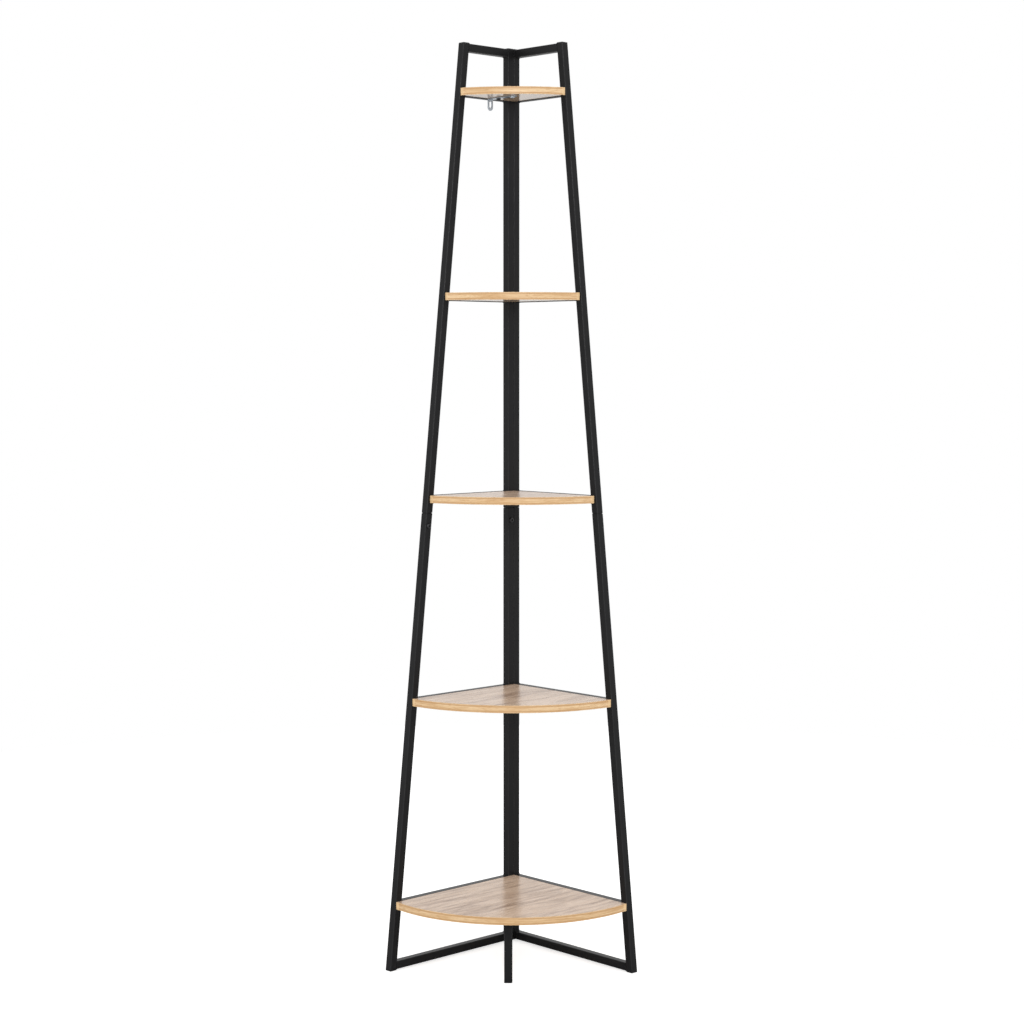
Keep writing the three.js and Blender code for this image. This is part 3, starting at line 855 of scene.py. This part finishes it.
# Wall strap under the highest board, which ties the unit to the wall.
# It is bent from 1.5 mm zinc plated sheet steel, with two holes in its plate and a
# slotted tab that hangs down beside the left rail.
STRAP_MIDDLE = 78.9287
STRAP_WIDTH = 13
STRAP_SHEET = 1.5
STRAP_BEND = 1.5
STRAP_LENGTH = 70
STRAP_DROP = 22.5
STRAP_START = 15.8
STRAP_TOP = 1634.8
STRAP_END_ROUND = 5
STRAP_HOLES = (24, 62)
STRAP_HOLE_RADIUS = 2.5
SLOT_WIDTH = 5.3
SLOT_RISE = 5.5
SLOT_LENGTH = 12
SHEET_EASE = 0.2
BEND_STEPS = 12
ARC_PARTS = 12
HOLE_POINTS = 36
MERGE_WITHIN = 0.001

ZINC = light_of(196, 202, 208)
ZINC_DULL = light_of(150, 157, 164)
ZINC_RELIEF = 0.01

zinc_plate, mix, coat = finish("zinc_plate", Metallic=1.0)
clouded = mix.clouds((5, 5, 5), detail=3.0)
rolled = mix.clouds((14, 0.25, 14), -GRAIN_TURN, detail=2.0)
coat(
    Base_Color=mix.blend(clouded, ZINC_DULL, ZINC),
    Roughness=0.26 + clouded * 0.12 + rolled * 0.06,
    Normal=mix.bump(rolled, ZINC_RELIEF, 0.4),
)

bend_outside = STRAP_BEND + STRAP_SHEET
bend_middle = STRAP_BEND + STRAP_SHEET / 2
plate_flat = STRAP_LENGTH - bend_outside
bend_length = bend_middle * math.pi / 2
strap_length = plate_flat + bend_length + STRAP_DROP - bend_outside


def arc_of(x, y, radius, start, end, parts=ARC_PARTS):
    """Points of an arc round x, y, between two turns in degrees."""
    turns = [math.radians(start + (end - start) * step / parts) for step in range(parts + 1)]
    return [(x + radius * math.cos(turn), y + radius * math.sin(turn)) for turn in turns]


def strap_outlines():
    """Flat strap before it is bent, from the end of its plate to the end of its tab."""
    half, corner = STRAP_WIDTH / 2, STRAP_END_ROUND
    body = arc_of(corner, half - corner, corner, 90, 180)
    body += arc_of(corner, corner - half, corner, 180, 270)
    body += arc_of(strap_length - half, 0, half, -90, 90, 2 * ARC_PARTS)
    last_turn = 360 - 360 / HOLE_POINTS
    holes = [
        arc_of(STRAP_LENGTH - along, 0, STRAP_HOLE_RADIUS, 0, last_turn, HOLE_POINTS - 1)
        for along in STRAP_HOLES
    ]
    slot_half = SLOT_WIDTH / 2
    slot_end = strap_length - SLOT_RISE
    slot = arc_of(slot_end - slot_half, 0, slot_half, -90, 90)
    slot += arc_of(slot_end - SLOT_LENGTH + slot_half, 0, slot_half, 90, 270)
    return [body, slot, *holes]


def bent(place, across, out):
    """Place of a point of the flat strap once it is bent and fixed."""
    out -= STRAP_SHEET / 2
    if place < plate_flat:
        along, drop = STRAP_LENGTH - place, out
    elif place < plate_flat + bend_length:
        turn = (place - plate_flat) / bend_middle
        radius = bend_outside + out
        along = bend_outside - radius * math.sin(turn)
        drop = radius * math.cos(turn) - bend_outside
    else:
        along, drop = -out, plate_flat + bend_length - place - bend_outside
    return on_frame("left", STRAP_MIDDLE + across, STRAP_START + along, STRAP_TOP + drop)


outline = bpy.data.curves.new("strap_outline", "CURVE")
outline.dimensions = "2D"
outline.fill_mode = "BOTH"
outline.extrude = STRAP_SHEET / 2 - SHEET_EASE
outline.bevel_depth = SHEET_EASE
outline.bevel_resolution = 1
outline.offset = -SHEET_EASE
for points in strap_outlines():
    line = outline.splines.new("POLY")
    line.points.add(len(points) - 1)
    line.use_cyclic_u = True
    for place, point in zip(line.points, points):
        place.co = (*point, 0, 1)
flat_strap = bpy.data.objects.new("flat_strap", outline)
sheet = bmesh.new()
sheet.from_mesh(flat_strap.to_mesh())
bmesh.ops.remove_doubles(sheet, verts=sheet.verts, dist=MERGE_WITHIN)
for step in range(BEND_STEPS + 1):
    place = plate_flat + bend_length * step / BEND_STEPS
    bmesh.ops.bisect_plane(
        sheet,
        geom=sheet.verts[:] + sheet.edges[:] + sheet.faces[:],
        plane_co=(place, 0, 0),
        plane_no=(1, 0, 0),
        dist=MERGE_WITHIN,
    )
sheet.verts.index_update()
strap = Skin()
strap.corners = [bent(*corner.co) for corner in sheet.verts]
strap.faces = [tuple(corner.index for corner in face.verts) for face in sheet.faces]
strap.marks = [0] * len(strap.corners)
sheet.free()
bpy.data.objects.remove(flat_strap)
fit("wall_strap", strap, zinc_plate, "zinc_plate", "wall_strap", crisp=35)


# Screws of the wall strap: a black one through its plate into the board, and a zinc
# plated one in the second hole. Both have domed heads that look down.
STRAP_SCREW = {**SCREW, "head": 4.3}
STRAP_SCREW_LENGTH = 13.1
STRAP_UNDERSIDE = STRAP_TOP - STRAP_SHEET
DOWN = Vector((0, 0, -1))

rings = fastener_rings(STRAP_SCREW, STRAP_SCREW_LENGTH)
first_hole, second_hole = [
    on_frame("left", STRAP_MIDDLE, STRAP_START + along, STRAP_UNDERSIDE)
    for along in STRAP_HOLES
]
name = "wall_strap_screw"
drive(name, rings, first_hole, DOWN, black_oxide, "black_fastener", name)
drive("wall_strap_end_screw", rings, second_hole, DOWN, zinc_plate, "zinc_plate")


# White studio: a pale floor that takes the unit's soft shadow, and an even white
# round it. The eye and the gloss of the tubes see that white at full strength.
FLOOR_RADIUS = 2.6
FLOOR_FACETS = 96
FLOOR_DROP = 0.02
FLOOR_WHITE = (0.86, 0.86, 0.86, 1)
FLOOR_LIFT = 0.66
SKY_LIGHT = 0.56
WHITE = (1, 1, 1, 1)

studio_floor = bpy.data.materials.new("studio_floor")
mix = Recipe(studio_floor)
mix.tree.nodes.clear()
matt = mix.node("BsdfDiffuse", {}, {"Color": FLOOR_WHITE})
camera_ray = mix.node("LightPath", {}, {}, "Is Camera Ray")
lift = mix.node("Emission", {}, {"Color": WHITE, "Strength": camera_ray * FLOOR_LIFT})
mix.node("OutputMaterial", {}, {"Surface": mix.node("AddShader", {}, {0: matt, 1: lift})})

floor_mesh = bpy.data.meshes.new("floor")
disc = bmesh.new()
bmesh.ops.create_circle(disc, cap_ends=True, segments=FLOOR_FACETS, radius=FLOOR_RADIUS)
disc.to_mesh(floor_mesh)
disc.free()
floor_mesh.materials.append(studio_floor)
floor = bpy.data.objects.new("floor", floor_mesh)
floor.location.z = -FLOOR_DROP * MM
bpy.context.scene.collection.objects.link(floor)

world = bpy.data.worlds.new("studio")
bpy.context.scene.world = world
mix = Recipe(world)
mix.tree.nodes.clear()
camera_ray = mix.node("LightPath", {}, {}, "Is Camera Ray")
glossy_ray = mix.node("LightPath", {}, {}, "Is Glossy Ray")
strength = SKY_LIGHT + (camera_ray + glossy_ray) * (1 - SKY_LIGHT)
sky = mix.node("Background", {}, {"Color": WHITE, "Strength": strength})
mix.node("OutputWorld", {}, {"Surface": sky})

# Soft boxes: a broad one high in front, and one at each side.
# Each has its place, width and height in metres, and its power in watts.
SOFT_BOXES = {
    "front_box": ((0.1, -5.6, 2.5), 1.3, 1.4, 85),
    "left_box": ((-3.4, -1.9, 2.1), 1.6, 2.6, 38),
    "right_box": ((3.4, -1.9, 2.1), 1.6, 2.6, 38),
}
AIM_POINT = Vector((0, 0, 0.85))
for name, (place, width, height, power) in SOFT_BOXES.items():
    lamp = bpy.data.lights.new(name, "AREA")
    lamp.shape = "RECTANGLE"
    lamp.size = width
    lamp.size_y = height
    lamp.energy = power
    box = bpy.data.objects.new(name, lamp)
    box.location = place
    box.rotation_euler = (AIM_POINT - box.location).to_track_quat("-Z", "Y").to_euler()
    bpy.context.scene.collection.objects.link(box)

# Camera where the photograph was taken from, a little to the right of the middle.
# It looks slightly down and to the left, from about four metres away.
SENSOR_WIDTH = 36
PICTURE_WIDTH = 1024
FOCAL_PIXELS = 2097
CAMERA_PLACE = (0.0993, -3.9167, 1.1391)
LOOK_DOWN = 0.0719
LOOK_LEFT = 0.0254

lens = bpy.data.cameras.new("camera")
lens.sensor_width = SENSOR_WIDTH
lens.lens = SENSOR_WIDTH * FOCAL_PIXELS / PICTURE_WIDTH
camera = bpy.data.objects.new("camera", lens)
camera.location = CAMERA_PLACE
camera.rotation_euler = (math.pi / 2 - LOOK_DOWN, 0, LOOK_LEFT)
bpy.context.scene.collection.objects.link(camera)
bpy.context.scene.camera = camera
bpy.context.scene.view_settings.view_transform = "Standard"
